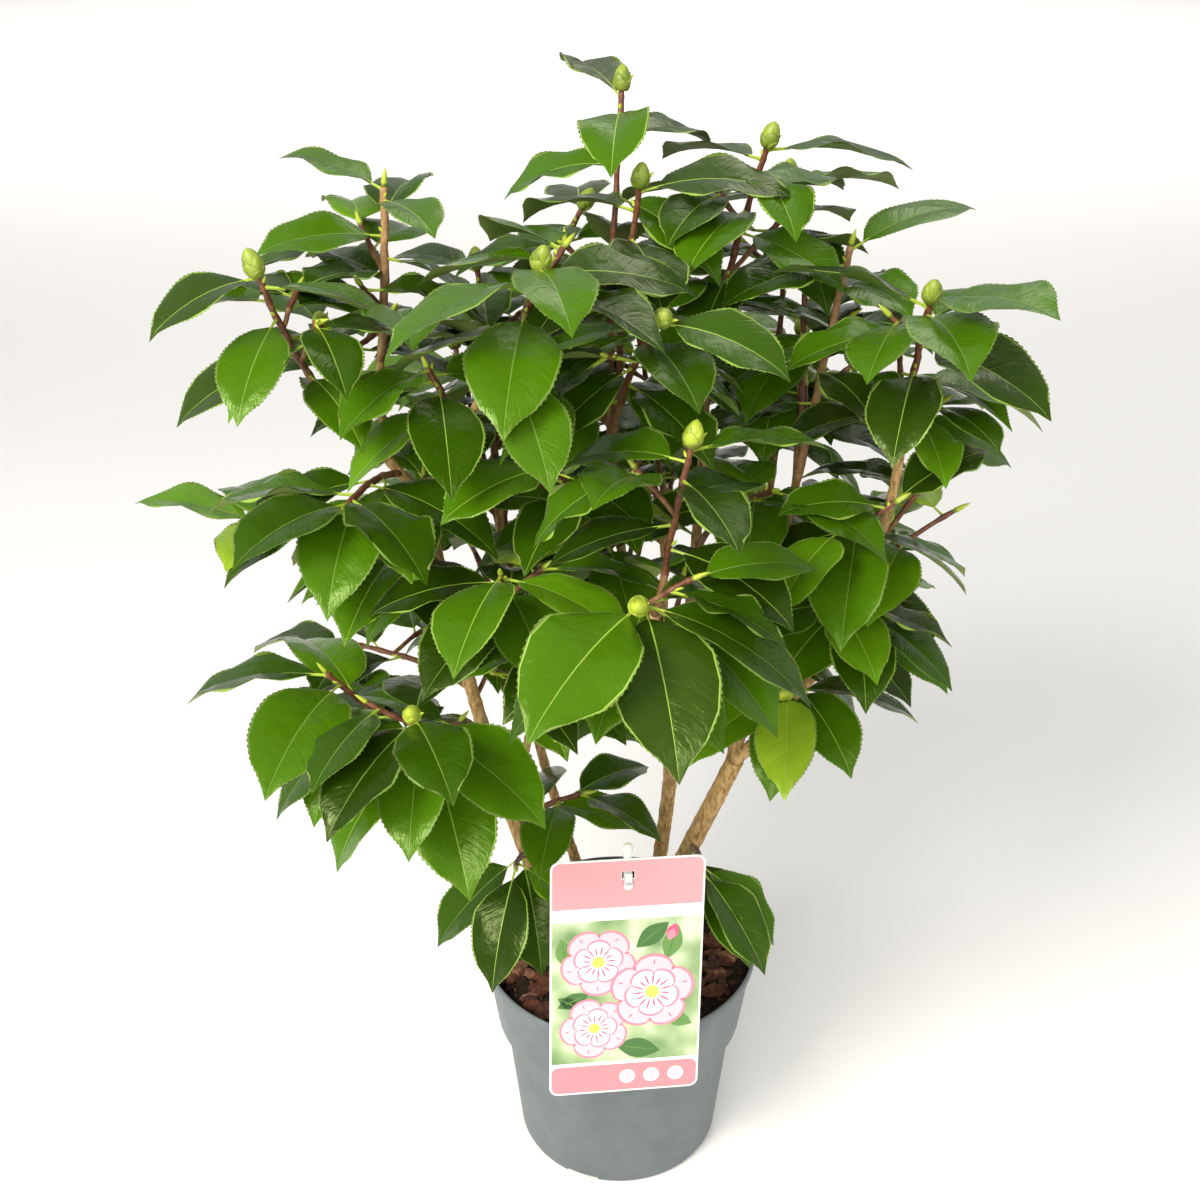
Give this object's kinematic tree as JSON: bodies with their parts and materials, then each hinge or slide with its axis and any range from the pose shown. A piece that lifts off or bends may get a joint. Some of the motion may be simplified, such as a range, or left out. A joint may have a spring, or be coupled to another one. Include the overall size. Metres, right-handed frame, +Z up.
{
  "type": "potted evergreen shrub",
  "caption": "Bushy evergreen flowering shrub in bud, with several woody stems, standing in a round nursery pot with a picture label leaning on its rim.",
  "frame": {"origin": "centre of the pot's flat underside, on the ground", "axes": "+Z up, -Y towards the label and the viewer, +X to the right of the label"},
  "size_m": [0.5337, 0.5058, 0.7537],
  "materials": {
    "pot": "moulded polypropylene, satin, grey-blue outside and black inside",
    "potting_mix": "damp peat with bark chips",
    "label": "thin printed plastic card",
    "stake": "milky moulded plastic",
    "bark": "fine rough tan bark",
    "foliage": "thick glossy leaves, red-brown twigs and yellow-green flower buds"
  },
  "bodies": {
    "root": {"pot": "pot", "potting_mix": "potting_mix", "label": "label", "label_stake": "stake", "stem_left": "bark", "stem_back": "bark", "stem_middle": "bark", "stem_right": "bark", "bough_left_outer": "bark", "bough_left_inner": "bark", "bough_left_snag": "bark", "bough_left_low": "bark", "bough_left_front": "bark", "bough_centre_left": "bark", "bough_centre_right": "bark", "bough_front": "bark", "bough_back_centre": "bark", "bough_right_outer": "bark", "bough_right_middle": "bark", "bough_right_back": "bark", "shoot_top": "foliage", "shoot_top_front": "foliage", "shoot_top_right": "foliage", "shoot_top_right_back": "foliage", "shoot_top_back": "foliage", "shoot_upper_left": "foliage", "shoot_heart": "foliage", "shoot_centre": "foliage", "shoot_right_top": "foliage", "shoot_right_outer": "foliage", "shoot_right_snag": "foliage", "shoot_left_snag": "foliage", "shoot_left_outer": "foliage", "shoot_left_back": "foliage", "shoot_far_left": "foliage", "shoot_left_low_back": "foliage", "shoot_left_low": "foliage", "shoot_left_low_outer": "foliage", "shoot_left_front": "foliage", "shoot_front_low": "foliage", "shoot_front_high": "foliage", "shoot_right_low_front": "foliage", "shoot_right_low": "foliage", "shoot_right_mid": "foliage", "shoot_right_mid_back": "foliage", "shoot_foot_left": "foliage", "shoot_foot_middle": "foliage", "shoot_foot_right": "foliage", "shoot_inner_left": "foliage", "shoot_inner_right": "foliage", "shoot_left_mid": "foliage", "shoot_left_upper": "foliage", "shoot_back_left_low": "foliage", "shoot_back_left": "foliage", "shoot_back_centre": "foliage", "shoot_back_low": "foliage", "shoot_back_right": "foliage", "shoot_back_right_low": "foliage"}
  },
  "joints": []
}
